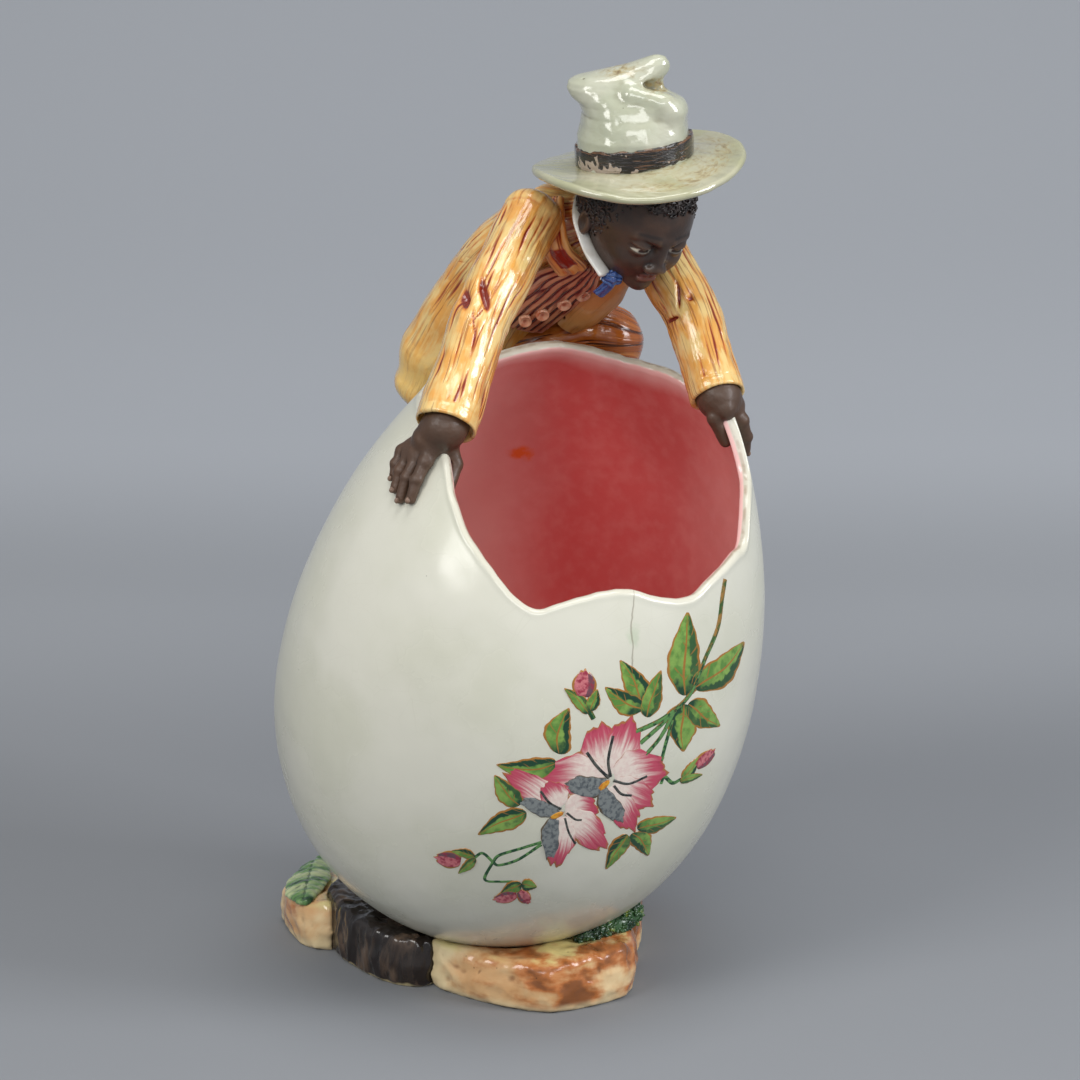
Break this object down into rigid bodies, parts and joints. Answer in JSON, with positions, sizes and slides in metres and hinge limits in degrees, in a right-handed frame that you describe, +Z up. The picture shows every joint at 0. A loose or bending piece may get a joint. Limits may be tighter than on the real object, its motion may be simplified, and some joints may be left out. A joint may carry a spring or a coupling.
{
  "type": "egg-shaped vase with figure",
  "caption": "Egg-shaped ceramic vase with a broken rim, standing on a ring of rocks, with a child in a brimmed hat leaning over the rim.",
  "frame": {"origin": "on the flat underside of the foot, under the middle of the ring of rocks", "axes": "+Z up, -Y towards the front with the low part of the rim, +X to the right, the way the egg leans"},
  "size_m": [0.1932, 0.1959, 0.3587],
  "materials": {
    "shell_glaze": "glossy off-white lead glaze over fired earthenware",
    "jacket_glaze": "glossy yellow-orange and brown majolica glaze",
    "waistcoat_glaze": "glossy red-brown glaze with dark lines",
    "skin_glaze": "satin dark brown slip",
    "hair_glaze": "satin black-brown slip",
    "hat_glaze": "glossy cream-green glaze",
    "band_glaze": "glossy dark brown glaze, worn",
    "collar_glaze": "glossy white glaze",
    "scarf_glaze": "satin blue glaze",
    "trouser_glaze": "glossy brown-ochre glaze",
    "shoe_glaze": "glossy dark brown glaze",
    "rock_glaze": "glossy cream glaze mottled orange-brown",
    "log_glaze": "glossy brown-black glaze",
    "leaf_glaze": "glossy leaf-green glaze",
    "moss_glaze": "glossy dark green glaze"
  },
  "bodies": {
    "root": {"egg_shell": "shell_glaze", "base_core": "rock_glaze", "rock_front": "rock_glaze", "rock_right": "rock_glaze", "rock_back": "rock_glaze", "rock_back_left": "rock_glaze", "rock_left": "rock_glaze", "log_left": "log_glaze", "leaf_left": "leaf_glaze", "moss_right": "moss_glaze", "jacket_body": "jacket_glaze", "sleeve_right": "jacket_glaze", "sleeve_left": "jacket_glaze", "lapel_right": "jacket_glaze", "jacket_front_left": "jacket_glaze", "waistcoat": "waistcoat_glaze", "button_1": "waistcoat_glaze", "button_2": "waistcoat_glaze", "button_3": "waistcoat_glaze", "button_4": "waistcoat_glaze", "collar": "collar_glaze", "neckerchief": "scarf_glaze", "head": "skin_glaze", "hair": "hair_glaze", "hat_brim": "hat_glaze", "hat_crown": "hat_glaze", "hat_band": "band_glaze", "leg_left": "trouser_glaze", "leg_right": "trouser_glaze", "shoe_left": "shoe_glaze", "shoe_right": "shoe_glaze", "hand_right": "skin_glaze", "hand_left": "skin_glaze"}
  },
  "joints": []
}
